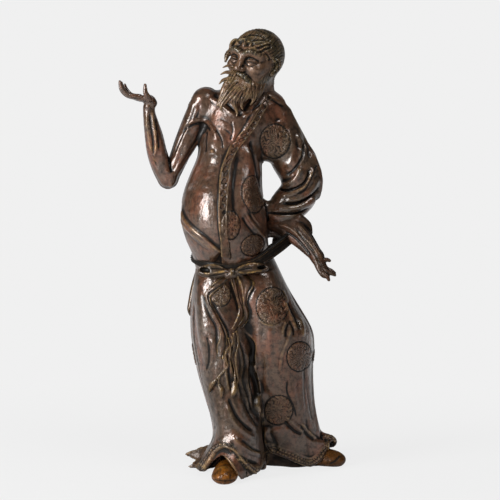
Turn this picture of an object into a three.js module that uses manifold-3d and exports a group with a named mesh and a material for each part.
// A standing bronze figure of a bearded old man in a loose robe, about 444 mm tall.
// It is put together from separate castings: each one has a tenon, a peg or a seat that fits its neighbour,
// and small pins lock the joints. Millimetres, +Z up, and the figure faces -Y. The tables below count heights
// from the waist, and at the end the whole figure moves up to stand on the floor over the origin.
import * as THREE from "three";
import { mergeVertices } from "three/addons/utils/BufferGeometryUtils.js";
import Module from "manifold-3d";

const wasm = await Module();
wasm.setup();

// Driving dimensions, in millimetres
const WALL = 4; // thickness of the hollow castings
const GAP = 0.3; // clearance between two castings
const PIN_RADIUS = 1.6; // pins of the large joints
const FINE_PIN_RADIUS = 0.9; // pins of the wrists and the beard
const PEG_RADIUS = 1.3; // pegs of the pieces that lie on the robe
const PEG_LENGTH = 2.6;
const SKIRT_HEIGHT = 210; // from the floor to the waist
const SPIGOT_DEPTH = 16; // how far the torso reaches down into the skirt
const CAVITY_HEIGHT = 126; // the torso is hollow up to here, below the shoulder sockets
const SHOULDER_TENON_RADIUS = 6;
const SHOULDER_TENON_LENGTH = 17;
const ELBOW_TENON_RADIUS = 3.4;
const NECK_TENON_RADIUS = 7;
const NECK_TENON_LENGTH = 14;
const WRIST_TENON_RADIUS = 2.5;
const WRIST_TENON_LENGTH = 9;
const SASH_HALF_HEIGHT = 4.6;
const SASH_HALF_THICKNESS = 2.8;
const TAIL_HALF_WIDTH = 3;
const TAIL_HALF_THICKNESS = 1.7;
const CORD_RADIUS = 1.5;
const TRIM_HALF_WIDTH = 4.2;
const TRIM_HALF_THICKNESS = 2.2;
const FINGER_RADIUS = 2.3; // at the knuckle
const FINGERTIP_RADIUS = 1.5;
const SHOE_HALF_WIDTH = 13;
const SHOE_HALF_HEIGHT = 10;
const SOLE_CUT = 1; // taken off below the shoe for its flat sole
const HEM_RIPPLE = 3.2; // depth of the folds at the hem
const HEM_FOLDS = 7;
const HEM_FOLD_HEIGHT = 60; // the folds run out this far above the floor
const FOLD_HALF_WIDTH = 4.5; // main folds of the robe
const FOLD_HALF_DEPTH = 4;
const FOLD_HEIGHT = 2.6; // how far such a fold stands out
const HEAD_HALF_WIDTH = 25;
const HEAD_HALF_DEPTH = 33;
const HEAD_HALF_HEIGHT = 32;
const HEAD_CENTRE = [24, -11, 202];
const HEAD_NOD = 8; // degrees forward
const HEAD_TURN = -30; // degrees towards its right hand
const HEAD_TILT = 12; // degrees, crown towards its left shoulder
const NECK = [[26, 3, 172, 14, 13], [26, -2, 184, 13, 13]];

// Stations of the robe from the floor to the waist: share of the skirt's height, left, right, front and back
const RIGHT_LEG = [
  [0, -34, 35, -54, 30],
  [0.048, -32, 34, -54, 28],
  [0.114, -25, 32, -53, 27],
  [0.19, -19.5, 30, -51, 28],
  [0.305, -23, 28, -49, 31],
  [0.495, -34, 25, -48, 35],
  [0.667, -40, 23, -48, 35],
  [0.829, -40, 22, -46, 34],
  [1, -36, 20, -38, 31],
];
const LEFT_LEG = [
  [0, 28, 101, 18, 72],
  [0.048, 26, 99, 13, 71],
  [0.114, 22, 95, 5, 69],
  [0.19, 19, 89.5, -5, 67],
  [0.305, 16, 83.5, -16, 64],
  [0.419, 14, 81, -25, 61],
  [0.514, 12, 80.5, -32, 58],
  [0.61, 9, 81.5, -38, 54],
  [0.695, 4, 78, -41, 50],
  [0.829, -6, 62, -41, 43],
  [0.924, -14, 51, -39, 39],
  [1, -20, 42, -36, 35],
];
// Stations of the torso, at heights above the waist
const TORSO = [
  [0, -36, 37, -41, 34],
  [12, -40, 37, -48, 35],
  [26, -45.5, 36, -54, 36],
  [42, -49.5, 35, -57, 36],
  [58, -50, 33, -56, 36],
  [74, -47, 31, -52, 35],
  [90, -41, 30.5, -44, 34],
  [108, -33.5, 31.5, -36, 33],
  [126, -30, 39, -31, 32],
  [142, -29, 49, -29, 31],
  [156, -28, 53, -25, 29],
  [166, -24, 51, -20, 26],
  [173, -12, 43, -15, 22],
  [178, 6, 39, -11, 18],
];

// Two corners of the hem that stand out behind the feet: x, y, height above the floor, half width, half depth
const HEM_FLAP = [[-18, 14, 16, 12, 9], [-34, 17, 14, 10, 6], [-45.5, 19, 12.5, 4, 2.5]];
const HEM_CURL = [[84, 34, 27, 8, 8], [95, 34, 25, 7.5, 7], [101, 34, 24, 5, 5]];

// Main folds of the robe, from the top down: x and the height, which counts from the floor on the skirt
// and from the waist on the torso
const OVERLAP_FOLD = [[21, 146], [28, 136], [27.5, 118], [30, 99], [29, 78], [36, 52], [45, 36]];
const RIGHT_LEG_FOLDS = [
  [[-29, 196], [-30, 166], [-26, 142]],
  [[-6, 78], [4, 56], [17, 44]],
];
const LEFT_LEG_FOLDS = [
  OVERLAP_FOLD,
  [[59, 152], [52, 132], [48, 108]],
  [[55, 66], [65, 54], [74, 48]],
  [[69, 112], [72, 84], [77, 58]],
];
const RIGHT_LEG_BACK_FOLDS = [
  [[4, 196], [2, 150], [-4, 90], [-8, 34]],
  [[-20, 186], [-22, 140], [-17, 84], [-14, 44]],
];
const LEFT_LEG_BACK_FOLDS = [
  [[30, 186], [38, 140], [42, 80], [44, 34]],
  [[58, 130], [66, 80], [72, 38]],
];
const TORSO_FOLDS = [
  [[-44, 49], [-36, 39], [-24.5, 30.5], [-16, 23]],
  [[13, 117], [11.5, 99], [9, 81], [10, 67], [13, 53]],
];
const TORSO_BACK_FOLDS = [
  [[-43, 68], [-31, 88], [-17, 108], [-2, 132], [9, 152]],
  [[22, 130], [17, 100], [14, 70], [13, 44]],
  [[-9, 96], [-5, 72], [-6, 46]],
];
// The bare breast: x, height above the waist, half width and half depth
const BREAST = [[-19, 129, 9, 6], [-19.5, 116, 10, 6.5]];
const BREAST_HEIGHT = 2.6;

// Limbs: x, y and z of the middle line, then half width and half depth, or one radius
const UPPER_ARM = [
  [-26, 0, 162.5, 13.5],
  [-32, 1, 151, 12.6],
  [-39.5, 2, 137, 11],
  [-47.5, 3, 118, 10],
  [-55, 3, 101.5, 8.2],
  [-63.5, 3, 87, 8.8],
];
const FOREARM = [
  [-64, 3, 86, 9.3],
  [-70.2, 1, 98, 9.2],
  [-74.8, -2, 112, 9.2],
  [-77.4, -5, 127, 8.7],
  [-79.8, -8, 139.5, 7.3],
  [-81.6, -10, 150, 6],
  [-82.2, -11, 155, 5.6],
];
const RIGHT_PALM = [
  [-79, -11, 161, 5.5, 5],
  [-83, -11.5, 165, 7, 4.4],
  [-89, -12, 166, 8, 3.8],
  [-93, -12, 167, 8, 3],
];
const RIGHT_FINGERS = [
  [[-92, -18, 167.5], [-101, -19, 168.5], [-107, -21, 175], [-109, -22, 181]],
  [[-92, -13.5, 167.5], [-102, -14, 168], [-108.5, -15, 174], [-110, -15.5, 182]],
  [[-92, -9, 167.5], [-101, -8.5, 168], [-107, -8, 174], [-109, -8, 181]],
  [[-91, -5, 167.5], [-99, -4, 169], [-104, -3, 174], [-106, -3, 179]],
  [[-81, -17, 165], [-84.5, -21, 171], [-84.5, -21, 178.5]],
];
const SLEEVE = [
  [45.5, 4, 146, 15.5, 19],
  [49, 5, 131, 19.5, 22],
  [56, 6, 111, 23, 23],
  [67, 5, 89, 23, 23],
  [66.5, 3, 71, 21.5, 21],
  [57, 0, 55, 20, 20],
  [50, -4, 40, 18, 18],
];
const LEFT_FOREARM = [
  [59, 0, 57, 7, 7],
  [57, -5, 46, 10.5, 9.5],
  [63.5, -14, 37, 11.5, 10],
  [73, -23, 26, 9.6, 8.5],
  [80.5, -30, 16, 7.8, 7],
  [84, -33, 11, 6.8, 6.4],
];
const LEFT_PALM = [[85.5, -35.5, 6, 6, 5], [89, -38.5, -1, 6.5, 4], [91, -40, -5, 6, 3]];
const LEFT_FINGERS = [
  [[91, -37, -1], [97, -38, -2.5], [101, -38, -5]],
  [[91, -41, -3], [97, -43, -4.5], [101, -43, -6.5]],
  [[90, -44, -5], [93.5, -46, -8], [95, -46, -11]],
  [[88, -36, 6], [93, -36, 8], [96, -36, 7]],
];
// The beard, from the chin: x, y, z and half sizes of its body, then the root and tip of each lock
const BEARD = [[1, 1.5, 7.5, 17, 9], [-1, -5.5, -3, 19, 8], [-2.5, -8.5, -11.5, 15, 6]];
const BEARD_LOCKS = [
  [[-16, -6.5, -5], [-21, -9, -15]],
  [[-12, -8.5, -10], [-16, -11, -23]],
  [[-4, -8.5, -12], [-3, -11, -26]],
  [[5, -8.5, -12], [8, -11, -27]],
  [[13, -5.5, -8], [16.5, -8, -18]],
];
const LOCK_RADIUS = 4.6;
const LOCK_TIP_RADIUS = 1.4;

// Inner edge of the sash, which goes round the waist and swings away from the body over its left hip
const SASH_LOOP = [
  [0.7, -41.5, -2], [-22.1, -34.2, -1], [-33.4, -7.7, 3], [-29.7, 18.8, 3], [-3, 33.6, 2],
  [27, 35.6, 7], [50, 28.4, 20], [64.5, 11.4, 31], [59.4, -8.6, 27], [41, -27.3, 14], [23.2, -37.5, 3.5],
];
const KNOT = [[-2, -50, -6, 5.5, 5], [2, -50, -5, 5.5, 5]];
const LEFT_BOW = [[-6, -49, -6, 3, 3], [-14, -46, -7, 5.6, 5], [-25, -41, -7, 4, 4]];
const RIGHT_BOW = [[6, -49, -5, 3, 3], [17, -46, -2, 5, 4.6], [31, -40, 0, 3.4, 3.4]];

// Paths on the front of the figure, as x and z only: the pieces lie on the surface behind them
const TRIM_PATH = [
  [33, 168], [29, 156], [20, 141], [8, 126], [-2, 111], [-8, 94], [-9.5, 76], [-10, 56], [-9, 32], [-6, 11],
];
const LEFT_TAIL_PATH = [[-7, -12], [-12, -19], [-19, -29], [-21, -42], [-16, -57], [-9, -72], [-8, -84]];
const MIDDLE_TAIL_PATH = [[0, -14], [3, -27], [7, -44], [5, -56], [2, -63]];
const RIGHT_TAIL_PATH = [[7, -11], [17, -16], [19, -24], [16, -35], [17, -47], [15, -58], [11, -65]];
const LEFT_CORD_PATH = [[-1, -70], [0, -82], [-5, -94], [-4, -104], [-9, -114], [-15, -121]];
const RIGHT_CORD_PATH = [[6, -70], [5, -84], [7, -102], [6, -114], [3, -125]];
const BACK_TAIL = [
  [-33, 19, 0], [-36, 17, -12], [-39.5, 14, -25], [-42, 12, -38], [-43.5, 11, -47], [-42, 11, -53],
];

// Feet: x and y of the heel and the toe
const RIGHT_SHOE = [[-4, -18], [-7, -55]];
const LEFT_SHOE = [[72, 37], [103, 27]];
const RIGHT_SHOE_PIN = [0, 12, -13]; // from the hem down into the shoe
const LEFT_SHOE_PIN = [-6.4, 7.1, -14];

// One bronze, worn to different browns
const bronze = (colour, roughness) =>
  new THREE.MeshStandardMaterial({ color: colour, roughness, metalness: 0.9 });
const FLESH = bronze(0x4a3630, 0.38);
const ROBE = bronze(0x3b2d28, 0.4);
const SASH = bronze(0x4d3a26, 0.45);
const SHOE = bronze(0x5c3c1c, 0.45);
const HAIR = bronze(0x3e3526, 0.5);
const PIN = bronze(0x6b5330, 0.4);

const vec = (x, y, z) => new THREE.Vector3(x, y, z);
const FRONT = vec(0, -1, 0);
const UP = vec(0, 0, 1);

/** The row of a station table at share s of its length, on a Catmull-Rom curve through the rows. */
function rowAt(rows, s) {
  const last = rows.length - 1;
  const at = THREE.MathUtils.clamp(s, 0, 1) * last;
  const i = Math.min(Math.floor(at), last - 1);
  const t = at - i;
  const near = (k) => rows[THREE.MathUtils.clamp(i + k, 0, last)];
  return rows[0].map((_, c) => {
    const [a, b, d, e] = [near(-1)[c], near(0)[c], near(1)[c], near(2)[c]];
    return b + 0.5 * t * (d - a + t * (2 * a - 5 * b + 4 * d - e + t * (3 * (b - d) + e - a)));
  });
}

/** The row of a station table at height z, which is its first column. */
function rowAtHeight(rows, z) {
  let low = 0;
  let high = 1;
  for (let step = 0; step < 24; step++) {
    const middle = (low + high) / 2;
    if (rowAt(rows, middle)[0] < z) low = middle;
    else high = middle;
  }
  return rowAt(rows, low);
}

/** A closed three.js geometry as a solid. */
function solidOf(geometry) {
  const bare = new THREE.BufferGeometry();
  bare.setAttribute("position", geometry.getAttribute("position"));
  bare.setIndex(geometry.index);
  const merged = mergeVertices(bare, 1e-4);
  const corners = merged.index.array;
  const kept = [];
  for (let i = 0; i < corners.length; i += 3) {
    const [a, b, c] = corners.subarray(i, i + 3);
    if (a !== b && b !== c && a !== c) kept.push(a, b, c);
  }
  const vertProperties = merged.getAttribute("position").array;
  return new wasm.Manifold(new wasm.Mesh({ numProp: 3, vertProperties, triVerts: new Uint32Array(kept) }));
}

/** A solid as a geometry. */
function geometryOf(solid) {
  const mesh = solid.getMesh();
  const geometry = new THREE.BufferGeometry();
  geometry.setAttribute("position", new THREE.BufferAttribute(new Float32Array(mesh.vertProperties), 3));
  geometry.setIndex(new THREE.BufferAttribute(new Uint32Array(mesh.triVerts), 1));
  geometry.computeVertexNormals();
  return geometry;
}

/** Moves every vertex of a geometry to place(vertex), and makes it a solid. */
function reshaped(geometry, place) {
  const position = geometry.getAttribute("position");
  const vertex = vec(0, 0, 0);
  for (let i = 0; i < position.count; i++) {
    const moved = place(vertex.fromBufferAttribute(position, i));
    position.setXYZ(i, moved.x, moved.y, moved.z);
  }
  return solidOf(geometry);
}

/** An upright body through its stations. grow widens it all round, and reach lengthens both of its ends. */
function column(rows, sides, rings, { grow = 0, reach = 0, ripple = () => 0 } = {}) {
  return reshaped(new THREE.CylinderGeometry(1, 1, 1, sides, rings), (v) => {
    const share = v.y + 0.5;
    const [z, left, right, front, back] = rowAt(rows, share);
    const extra = grow + ripple(Math.atan2(v.x, v.z), z);
    const x = (left + right) / 2 + v.x * ((right - left) / 2 + extra);
    const y = (front + back) / 2 - v.z * ((back - front) / 2 + extra);
    const end = Math.abs(v.y) > 0.4999 ? Math.sign(v.y) * reach : 0;
    return vec(x, y, z + end);
  });
}

/** y of a column's surface at x and z: side is -1 for its front and 1 for its back. */
function surfaceOf(rows, x, z, side) {
  const [, left, right, front, back] = rowAtHeight(rows, z);
  const across = THREE.MathUtils.clamp((2 * x - left - right) / (right - left), -1, 1);
  return (front + back) / 2 + side * ((back - front) / 2) * Math.sqrt(1 - across * across);
}

/** A tapering limb with round ends. Its depth lies along facing, and grow thickens it all round. */
function limb(points, { sides = 12, rings = 8, caps = 2, grow = 0, facing = FRONT } = {}) {
  const curve = new THREE.CatmullRomCurve3(points.map(([x, y, z]) => vec(x, y, z)));
  const radii = points.map(([, , , wide, deep]) => [wide, deep ?? wide]);
  return reshaped(new THREE.CapsuleGeometry(1, 1, caps, sides, rings), (v) => {
    const along = v.y + 0.5;
    const share = THREE.MathUtils.clamp(along, 0, 1);
    const tangent = curve.getTangent(share);
    const across = vec(0, 0, 0).crossVectors(tangent, facing).normalize();
    const outward = vec(0, 0, 0).crossVectors(across, tangent);
    const [wide, deep] = rowAt(radii, share);
    return curve
      .getPoint(share)
      .addScaledVector(across, v.x * (wide + grow))
      .addScaledVector(outward, v.z * (deep + grow))
      .addScaledVector(tangent, (along - share) * (Math.min(wide, deep) + grow));
  });
}

/** A band outside a closed path: tall is half its height, and thick half its thickness. */
function loopBand(points, tall, thick, sides, steps, sink = 0) {
  const curve = new THREE.CatmullRomCurve3(points.map((p) => vec(...p)), true);
  const ringRadius = 3;
  return reshaped(new THREE.TorusGeometry(ringRadius, 1, sides, steps), (v) => {
    const share = 1 - THREE.MathUtils.euclideanModulo(Math.atan2(v.y, v.x) / (2 * Math.PI), 1);
    const tangent = curve.getTangent(share);
    const outward = vec(-tangent.y, tangent.x, 0).normalize();
    return curve
      .getPoint(share)
      .addScaledVector(outward, (1 + Math.hypot(v.x, v.y) - ringRadius) * thick + sink)
      .add(vec(0, 0, v.z * tall));
  });
}

/** A straight round bar from one point to another, lengthened by start and end. */
function bar(from, to, radius, { start = 0, end = 0, sides = 12 } = {}) {
  const way = vec(0, 0, 0).subVectors(to, from).normalize();
  const first = from.clone().addScaledVector(way, -start);
  const length = first.distanceTo(to) + end;
  const geometry = new THREE.CylinderGeometry(radius, radius, length, sides);
  geometry.applyQuaternion(new THREE.Quaternion().setFromUnitVectors(vec(0, 1, 0), way));
  const middle = first.addScaledVector(way, length / 2);
  return solidOf(geometry.translate(middle.x, middle.y, middle.z));
}

/** A level slab from one height to another, wider than the whole figure. */
function slab(low, high) {
  const wide = 600;
  return solidOf(new THREE.BoxGeometry(wide, wide, high - low).translate(0, 0, (low + high) / 2));
}

/** The largest of a solid's separate bodies, without the slivers that a cut leaves. */
function mainBody(solid) {
  return solid.decompose().reduce((best, body) => (body.volume() > best.volume() ? body : best));
}

const joined = (solids) => solids.reduce((whole, solid) => whole.add(solid));

/** A shape cut back from its neighbours by the clearance. */
const fitted = (shape, neighbours) =>
  mainBody(neighbours.reduce((solid, neighbour) => solid.subtract(neighbour(GAP)), shape(0)));

/** A fold that stands out of a column along a path of x and height. side is -1 in front and 1 behind. */
function fold(path, rows, side, grow) {
  const sunk = FOLD_HALF_DEPTH - FOLD_HEIGHT;
  const middle = ([x, z]) => [x, surfaceOf(rows, x, z, side) - side * sunk, z];
  const stations = path.map((point) => [...middle(point), FOLD_HALF_WIDTH, FOLD_HALF_DEPTH]);
  return limb(stations, { sides: 8, rings: 8, grow });
}

// The robe's skirt is one column for each leg
const floorZ = -SKIRT_HEIGHT;
const legRows = (leg) => leg.map(([share, ...outline]) => [floorZ + share * SKIRT_HEIGHT, ...outline]);
const rightLeg = legRows(RIGHT_LEG);
const leftLeg = legRows(LEFT_LEG);
const fromFloor = (rows) => rows.map(([x, y, z, ...sizes]) => [x, y, floorZ + z, ...sizes]);
const skirtFolds = (paths, leg, side, grow) =>
  paths.map((path) => fold(path.map(([x, up]) => [x, floorZ + up]), leg, side, grow));
const hemRipple = (angle, z) =>
  HEM_RIPPLE * Math.cos(HEM_FOLDS * angle) * Math.max(0, 1 - (z - floorZ) / HEM_FOLD_HEIGHT) ** 2;
const skirt = (grow) => {
  const options = { grow, reach: grow, ripple: hemRipple };
  return joined([
    column(rightLeg, 30, 12, options),
    column(leftLeg, 30, 13, options),
    limb(fromFloor(HEM_FLAP), { sides: 10, rings: 6, grow, facing: UP }),
    limb(fromFloor(HEM_CURL), { sides: 10, rings: 6, grow, facing: UP }),
    ...skirtFolds(RIGHT_LEG_FOLDS, rightLeg, -1, grow),
    ...skirtFolds(LEFT_LEG_FOLDS, leftLeg, -1, grow),
    ...skirtFolds(RIGHT_LEG_BACK_FOLDS, rightLeg, 1, grow),
    ...skirtFolds(LEFT_LEG_BACK_FOLDS, leftLeg, 1, grow),
  ]);
};
const skirtCore = (inset, reach) => {
  const options = { grow: -inset, reach };
  return column(rightLeg, 15, 7, options).add(column(leftLeg, 15, 7, options));
};
const skirtFront = (x, z) => Math.min(surfaceOf(rightLeg, x, z, -1), surfaceOf(leftLeg, x, z, -1));

const torsoFront = (x, z) => surfaceOf(TORSO, x, z, -1);
const breast = (grow) =>
  limb(BREAST.map(([x, z, wide, deep]) => [x, torsoFront(x, z) + deep - BREAST_HEIGHT, z, wide, deep]), {
    sides: 10,
    rings: 3,
    grow,
  });
const torso = (grow) =>
  joined([
    column(TORSO, 28, 16, { grow, reach: grow }),
    breast(grow),
    ...TORSO_FOLDS.map((path) => fold(path, TORSO, -1, grow)),
    ...TORSO_BACK_FOLDS.map((path) => fold(path, TORSO, 1, grow)),
  ]);
const torsoBack = (x, z) => surfaceOf(TORSO, x, z, 1);
const neckSeatZ = TORSO[TORSO.length - 1][0];

// The head is an egg with a narrower jaw, a nose, a brow and ears, set on its neck
const degrees = THREE.MathUtils.degToRad;
const headMatrix = new THREE.Matrix4()
  .makeRotationY(degrees(HEAD_TILT))
  .multiply(new THREE.Matrix4().makeRotationZ(degrees(HEAD_TURN)))
  .multiply(new THREE.Matrix4().makeRotationX(degrees(HEAD_NOD)))
  .setPosition(...HEAD_CENTRE);
const inHead = (x, y, z) => vec(x, y, z).applyMatrix4(headMatrix);

function skull(grow) {
  const noseOut = 5;
  const browOut = 1.6;
  return reshaped(new THREE.SphereGeometry(1, 24, 16), (v) => {
    const [x, y, z] = [v.x, -v.z, v.y];
    const low = Math.max(0, -z);
    const jaw = 1 - 0.24 * low * low;
    const nape = y > 0 ? 1 - 0.35 * low : 1;
    const nose = y < 0 ? noseOut * Math.exp(-((x / 0.12) ** 2) - ((z + 0.12) / 0.2) ** 2) : 0;
    const brow = y < -0.4 ? browOut * Math.exp(-(((z - 0.2) / 0.1) ** 2)) : 0;
    return inHead(
      x * (HEAD_HALF_WIDTH + grow) * jaw,
      y * (HEAD_HALF_DEPTH + grow) * nape - nose - brow,
      z * (HEAD_HALF_HEIGHT + grow),
    );
  });
}

function ear(side, grow) {
  const top = inHead(side * (HEAD_HALF_WIDTH - 2), 3, -2);
  const lobe = inHead(side * (HEAD_HALF_WIDTH - 5), 1, -13);
  return limb([[...top, 3, 5], [...lobe, 2.4, 3.6]], { sides: 8, rings: 2, grow });
}

const head = (grow) =>
  joined([skull(grow), ear(1, grow), ear(-1, grow), limb(NECK, { sides: 16, rings: 3, grow })]);

const chin = inHead(0, -0.73 * HEAD_HALF_DEPTH, -0.81 * HEAD_HALF_HEIGHT);
const fromChin = ([x, y, z, ...sizes]) => [chin.x + x, chin.y + y, chin.z + z, ...sizes];
const beard = (grow) =>
  joined([
    limb(BEARD.map(fromChin), { sides: 14, rings: 5, grow }),
    ...BEARD_LOCKS.map(([root, tip]) => {
      const rows = [fromChin([...root, LOCK_RADIUS]), fromChin([...tip, LOCK_TIP_RADIUS])];
      return limb(rows, { sides: 6, rings: 2, grow });
    }),
  ]);

// Arms and hands
const upperArm = (grow) => limb(UPPER_ARM, { sides: 14, rings: 10, grow });
const forearm = (grow) => limb(FOREARM, { sides: 14, rings: 10, grow });
const sleeve = (grow) => limb(SLEEVE, { sides: 20, rings: 12, caps: 3, grow });
const leftForearm = (grow) => limb(LEFT_FOREARM, { sides: 14, rings: 8, grow });

function finger(path, grow) {
  const last = path.length - 1;
  const radiusAt = (i) => THREE.MathUtils.lerp(FINGER_RADIUS, FINGERTIP_RADIUS, i / last);
  const rows = path.map((point, i) => [...point, radiusAt(i)]);
  return limb(rows, { sides: 6, rings: 4, grow, facing: vec(0, -1, 0.3) });
}
const hand = (palm, fingers, grow) =>
  joined([
    limb(palm, { sides: 12, rings: 4, grow, facing: UP }),
    ...fingers.map((path) => finger(path, grow)),
  ]);
const rightHand = (grow) => hand(RIGHT_PALM, RIGHT_FINGERS, grow);
const leftHand = (grow) => hand(LEFT_PALM, LEFT_FINGERS, grow);

// The sash, its bow and the ends that hang from it
const sash = (grow) => loopBand(SASH_LOOP, SASH_HALF_HEIGHT + grow, SASH_HALF_THICKNESS + grow, 8, 40, -grow);
const knot = (grow) => limb(KNOT, { sides: 10, rings: 2, grow, facing: UP });
const leftBow = (grow) => limb(LEFT_BOW, { sides: 10, rings: 5, grow });
const rightBow = (grow) => limb(RIGHT_BOW, { sides: 10, rings: 5, grow });

/** A strip that lies on a surface along a path, half sunk into it before it is cut back. */
function strip(path, surface, wide, deep, grow, rings) {
  const rows = path.map(([x, z]) => [x, surface(x, z) - deep / 2, z, wide, deep]);
  return limb(rows, { sides: 6, rings, grow });
}
const tail = (path) => (grow) => strip(path, skirtFront, TAIL_HALF_WIDTH, TAIL_HALF_THICKNESS, grow, 12);
const cord = (path) => (grow) => strip(path, skirtFront, CORD_RADIUS, CORD_RADIUS, grow, 10);
const leftTail = tail(LEFT_TAIL_PATH);
const middleTail = tail(MIDDLE_TAIL_PATH);
const rightTail = tail(RIGHT_TAIL_PATH);
const leftCord = cord(LEFT_CORD_PATH);
const rightCord = cord(RIGHT_CORD_PATH);
const trim = (grow) => strip(TRIM_PATH, torsoFront, TRIM_HALF_WIDTH, TRIM_HALF_THICKNESS, grow, 18);
const backTail = (grow) =>
  limb(BACK_TAIL.map((point) => [...point, TAIL_HALF_WIDTH, TAIL_HALF_THICKNESS]), {
    sides: 6,
    rings: 8,
    grow,
    facing: vec(-1, 0, 0),
  });

// Shoes with flat soles, half under the hem
function shoe([heel, toe], grow) {
  const z = floorZ + SHOE_HALF_HEIGHT - SOLE_CUT;
  const middle = [(heel[0] + toe[0]) / 2, (heel[1] + toe[1]) / 2];
  const rows = [
    [...heel, z, SHOE_HALF_WIDTH * 0.8, SHOE_HALF_HEIGHT],
    [...middle, z, SHOE_HALF_WIDTH, SHOE_HALF_HEIGHT],
    [...toe, z, SHOE_HALF_WIDTH * 0.9, SHOE_HALF_HEIGHT],
  ];
  return limb(rows, { sides: 16, rings: 6, grow, facing: UP });
}
const rightShoe = (grow) => shoe(RIGHT_SHOE, grow);
const leftShoe = (grow) => shoe(LEFT_SHOE, grow);

// The hollow castings
const spigot = skirtCore(WALL + GAP, WALL).intersect(slab(-SPIGOT_DEPTH, WALL / 2));
const spigotBore = skirtCore(2 * WALL + GAP, 2 * WALL);
const torsoShell = torso(0)
  .subtract(slab(-WALL, GAP))
  .subtract(column(TORSO, 16, 8, { grow: -WALL }).intersect(slab(WALL, CAVITY_HEIGHT)));
const pieces = {
  skirt_casting: mainBody(
    [rightShoe, leftShoe].reduce(
      (solid, foot) => solid.subtract(foot(GAP)),
      skirt(0).subtract(skirtCore(WALL, WALL)),
    ),
  ),
  torso_casting: mainBody(torsoShell.add(spigot).subtract(spigotBore)),
  head_casting: fitted(head, [torso]),
  beard_casting: fitted(beard, [head, torso]),
  right_upper_arm: fitted(upperArm, [torso, forearm]),
  right_forearm: fitted(forearm, []),
  right_hand: fitted(rightHand, [forearm]),
  left_sleeve: fitted(sleeve, [torso, leftForearm]),
  left_forearm: fitted(leftForearm, [torso]),
  left_hand: fitted(leftHand, [leftForearm]),
  sash_band: fitted(sash, [torso, skirt, sleeve, leftForearm]),
  sash_knot: fitted(knot, [sash, torso, skirt]),
  bow_left: fitted(leftBow, [knot, sash, torso, skirt]),
  bow_right: fitted(rightBow, [knot, sash, torso, skirt]),
  tail_left: fitted(leftTail, [knot, leftBow, sash, skirt]),
  tail_right: fitted(rightTail, [knot, rightBow, sash, skirt]),
  tail_middle: fitted(middleTail, [knot, leftTail, rightTail, sash, skirt]),
  cord_left: fitted(leftCord, [leftTail, middleTail, rightTail, skirt]),
  cord_right: fitted(rightCord, [leftTail, middleTail, rightTail, leftCord, skirt]),
  tail_back: fitted(backTail, [sash, skirt, torso]),
  lapel_trim: fitted(trim, [torso, sash, head, beard, sleeve]),
  shoe_right: fitted(rightShoe, []).subtract(slab(floorZ - SHOE_HALF_HEIGHT, floorZ)),
  shoe_left: fitted(leftShoe, []).subtract(slab(floorZ - SHOE_HALF_HEIGHT, floorZ)),
};

/** Gives one piece a tenon from a point to a point, and its hosts a socket for it. */
function addTenon(piece, hosts, from, to, radius, sides = 12) {
  const socket = bar(from, to, radius + GAP, { end: GAP, sides });
  for (const host of hosts) pieces[host] = pieces[host].subtract(socket);
  pieces[piece] = pieces[piece].add(bar(from, to, radius, { sides }));
}

/** Drives a pin from the outside inwards through the named pieces. */
function addPin(name, through, from, to, radius = PIN_RADIUS) {
  const wayOut = 6;
  const hole = bar(from, to, radius + GAP, { start: wayOut, end: GAP, sides: 10 });
  for (const piece of through) pieces[piece] = mainBody(pieces[piece].subtract(hole));
  pieces[name] = bar(from, to, radius, { sides: 10 });
}

// Tenons of the large castings
const neckAt = vec(NECK[0][0], NECK[0][1], neckSeatZ);
const neckTop = neckAt.clone().setZ(neckSeatZ + WALL);
const neckEnd = neckAt.clone().setZ(neckSeatZ - NECK_TENON_LENGTH);
addTenon("head_casting", ["torso_casting"], neckTop, neckEnd, NECK_TENON_RADIUS, 16);
const between = (from, to, share) => vec(...from).lerp(vec(...to), share);
const rightShoulder = between(UPPER_ARM[0], UPPER_ARM[1], 0.5);
const rightShoulderEnd = rightShoulder.clone().add(vec(SHOULDER_TENON_LENGTH, 0, 0));
addTenon("right_upper_arm", ["torso_casting"], rightShoulder, rightShoulderEnd, SHOULDER_TENON_RADIUS);
const leftShoulder = between(SLEEVE[0], SLEEVE[1], 0.25).add(vec(SHOULDER_TENON_LENGTH * 0.55, 0, 0));
const leftShoulderEnd = leftShoulder.clone().add(vec(-SHOULDER_TENON_LENGTH, 0, 0));
addTenon("left_sleeve", ["torso_casting"], leftShoulder, leftShoulderEnd, SHOULDER_TENON_RADIUS);
const elbow = between(UPPER_ARM[4], UPPER_ARM[5], 0.25);
const elbowEnd = between(UPPER_ARM[4], UPPER_ARM[5], 1.17);
addTenon("right_upper_arm", ["right_forearm"], elbow, elbowEnd, ELBOW_TENON_RADIUS);
const rightWrist = between(RIGHT_PALM[0], RIGHT_PALM[1], 0.75);
const rightWristEnd = rightWrist.clone().add(vec(0, 0, -WRIST_TENON_LENGTH));
addTenon("right_hand", ["right_forearm"], rightWrist, rightWristEnd, WRIST_TENON_RADIUS);
const leftWrist = between(LEFT_PALM[0], LEFT_PALM[1], 0.25);
const upTheForearm = vec(...LEFT_FOREARM[4]).sub(vec(...LEFT_FOREARM[5]));
const leftWristEnd = leftWrist.clone().add(upTheForearm.setLength(WRIST_TENON_LENGTH + WALL));
addTenon("left_hand", ["left_forearm"], leftWrist, leftWristEnd, WRIST_TENON_RADIUS);

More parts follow.
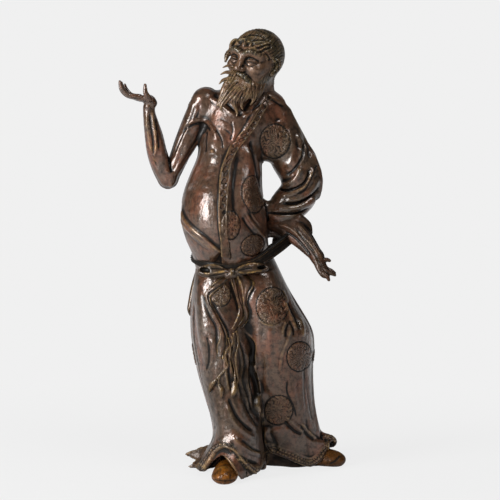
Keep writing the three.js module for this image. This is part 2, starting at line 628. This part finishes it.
// Pegs of the pieces that lie on the robe
/** A peg from a piece straight back into the surface behind the point x, z. It starts this far in front. */
function addPeg(piece, hosts, [x, z], surface, inFront = PEG_RADIUS) {
  const y = surface(x, z);
  addTenon(piece, hosts, vec(x, y - inFront, z), vec(x, y + PEG_LENGTH, z), PEG_RADIUS, 8);
}
addPeg("tail_left", ["skirt_casting"], LEFT_TAIL_PATH[3], skirtFront);
addPeg("tail_middle", ["skirt_casting"], MIDDLE_TAIL_PATH[2], skirtFront);
addPeg("tail_right", ["skirt_casting"], RIGHT_TAIL_PATH[4], skirtFront);
addPeg("cord_left", ["skirt_casting"], LEFT_CORD_PATH[3], skirtFront);
addPeg("cord_right", ["skirt_casting"], RIGHT_CORD_PATH[2], skirtFront);
addPeg("lapel_trim", ["torso_casting"], TRIM_PATH[2], torsoFront);
addPeg("lapel_trim", ["torso_casting"], TRIM_PATH[7], torsoFront);
const bowStandOff = 9; // the middle of the bow is this far in front of the skirt
const bowPegDrop = 2.5; // the bow's pegs are this far below its middle line
const underBow = ([x, , z]) => [x, z - bowPegDrop];
addPeg("sash_knot", ["sash_band", "skirt_casting"], [0, -7], skirtFront, bowStandOff);
addPeg("bow_left", ["sash_band", "skirt_casting"], underBow(LEFT_BOW[1]), skirtFront, bowStandOff);
addPeg("bow_right", ["sash_band", "skirt_casting"], underBow(RIGHT_BOW[1]), skirtFront, bowStandOff);
const backTailAt = vec(...BACK_TAIL[3]);
const backTailEnd = backTailAt.clone().add(vec(3 * PEG_LENGTH, 0, 0));
addTenon("tail_back", ["skirt_casting"], backTailAt, backTailEnd, PEG_RADIUS, 8);

// Pins that lock the joints
const pinDepth = 1; // the pin's outer end is this far below the surface
/** A pin through the torso's back into a tenon. */
function addBackPin(name, piece, x, z, tenonY) {
  const from = vec(x, torsoBack(x, z) - pinDepth, z);
  addPin(name, ["torso_casting", piece], from, vec(x, tenonY - PIN_RADIUS * 2, z));
}
addBackPin("pin_neck", "head_casting", neckAt.x, neckSeatZ - NECK_TENON_LENGTH * 0.6, neckAt.y);
addBackPin("pin_right_shoulder", "right_upper_arm", rightShoulderEnd.x - 4, rightShoulder.z, rightShoulder.y);
addBackPin("pin_left_shoulder", "left_sleeve", leftShoulderEnd.x + 4, leftShoulder.z, leftShoulder.y);
/** A pin from behind into a limb at a point of its middle line, which is this deep there. */
function addLimbPin(name, through, at, deep, radius) {
  const from = at.clone().add(vec(0, deep - pinDepth, 0));
  addPin(name, through, from, at.clone().add(vec(0, -2 * radius, 0)), radius);
}
addLimbPin("pin_elbow", ["right_forearm", "right_upper_arm"], vec(...FOREARM[0]), FOREARM[0][3], PIN_RADIUS);
addLimbPin("pin_cuff", ["left_sleeve", "left_forearm"], vec(...LEFT_FOREARM[0]), SLEEVE[5][4], PIN_RADIUS);
const rightWristPinAt = rightWrist.clone().lerp(rightWristEnd, 0.8);
const rightWristPinDeep = FOREARM[FOREARM.length - 1][3];
const leftWristPinAt = leftWrist.clone().lerp(leftWristEnd, 0.66);
const leftWristPinDeep = LEFT_FOREARM[LEFT_FOREARM.length - 1][4];
const fine = FINE_PIN_RADIUS;
addLimbPin("pin_right_wrist", ["right_forearm", "right_hand"], rightWristPinAt, rightWristPinDeep, fine);
addLimbPin("pin_left_wrist", ["left_forearm", "left_hand"], leftWristPinAt, leftWristPinDeep, fine);
const beardPinAt = vec(...fromChin([2, -12.5, -2.5]));
const beardPinEnd = vec(...fromChin([5, 4.5, 0.5]));
addPin("pin_beard", ["beard_casting", "head_casting"], beardPinAt, beardPinEnd, fine);

const waistPinZ = -SPIGOT_DEPTH / 2;
const waistReach = 2 * WALL + GAP + pinDepth;
const rightHip = rowAtHeight(rightLeg, waistPinZ);
const leftHip = rowAtHeight(leftLeg, waistPinZ);
const waistParts = ["skirt_casting", "torso_casting"];
const rightHipAt = vec(rightHip[1] + pinDepth, (rightHip[3] + rightHip[4]) / 2, waistPinZ);
addPin("pin_waist_right", waistParts, rightHipAt, rightHipAt.clone().add(vec(waistReach, 0, 0)));
const leftHipAt = vec(leftHip[2] - pinDepth, (leftHip[3] + leftHip[4]) / 2, waistPinZ);
addPin("pin_waist_left", waistParts, leftHipAt, leftHipAt.clone().add(vec(-waistReach, 0, 0)));
const backAt = vec((leftHip[1] + leftHip[2]) / 2, leftHip[4] - pinDepth, waistPinZ);
addPin("pin_waist_back", waistParts, backAt, backAt.clone().add(vec(0, -waistReach, 0)));

const shoePinZ = floorZ + 2.5 * SHOE_HALF_HEIGHT;
const toeX = RIGHT_SHOE[1][0];
const hemAt = vec(toeX, skirtFront(toeX, shoePinZ) + pinDepth, shoePinZ);
addPin("pin_shoe_right", ["skirt_casting", "shoe_right"], hemAt, hemAt.clone().add(vec(...RIGHT_SHOE_PIN)));
const leftToeX = (LEFT_SHOE[0][0] + LEFT_SHOE[1][0]) / 2;
const leftHemAt = vec(leftToeX, surfaceOf(leftLeg, leftToeX, shoePinZ, -1) + pinDepth, shoePinZ);
const leftHemEnd = leftHemAt.clone().add(vec(...LEFT_SHOE_PIN));
addPin("pin_shoe_left", ["skirt_casting", "shoe_left"], leftHemAt, leftHemEnd);

// The figure as a group of named meshes, moved so that its box stands over the origin
const materialOf = (name) => {
  if (name.startsWith("pin")) return PIN;
  if (/^(sash|bow|tail|cord|lapel)/.test(name)) return SASH;
  if (name.startsWith("shoe")) return SHOE;
  if (name.startsWith("beard")) return HAIR;
  return /^(skirt|left_sleeve|left_forearm)/.test(name) ? ROBE : FLESH;
};
const figure = new THREE.Group();
figure.name = "bronze_figure";
for (const [name, solid] of Object.entries(pieces)) {
  const mesh = new THREE.Mesh(geometryOf(solid), materialOf(name));
  mesh.name = name;
  figure.add(mesh);
}
const box = new THREE.Box3().setFromObject(figure);
const middle = box.getCenter(vec(0, 0, 0));
for (const mesh of figure.children) mesh.position.set(-middle.x, -middle.y, -box.min.z);

export default figure;
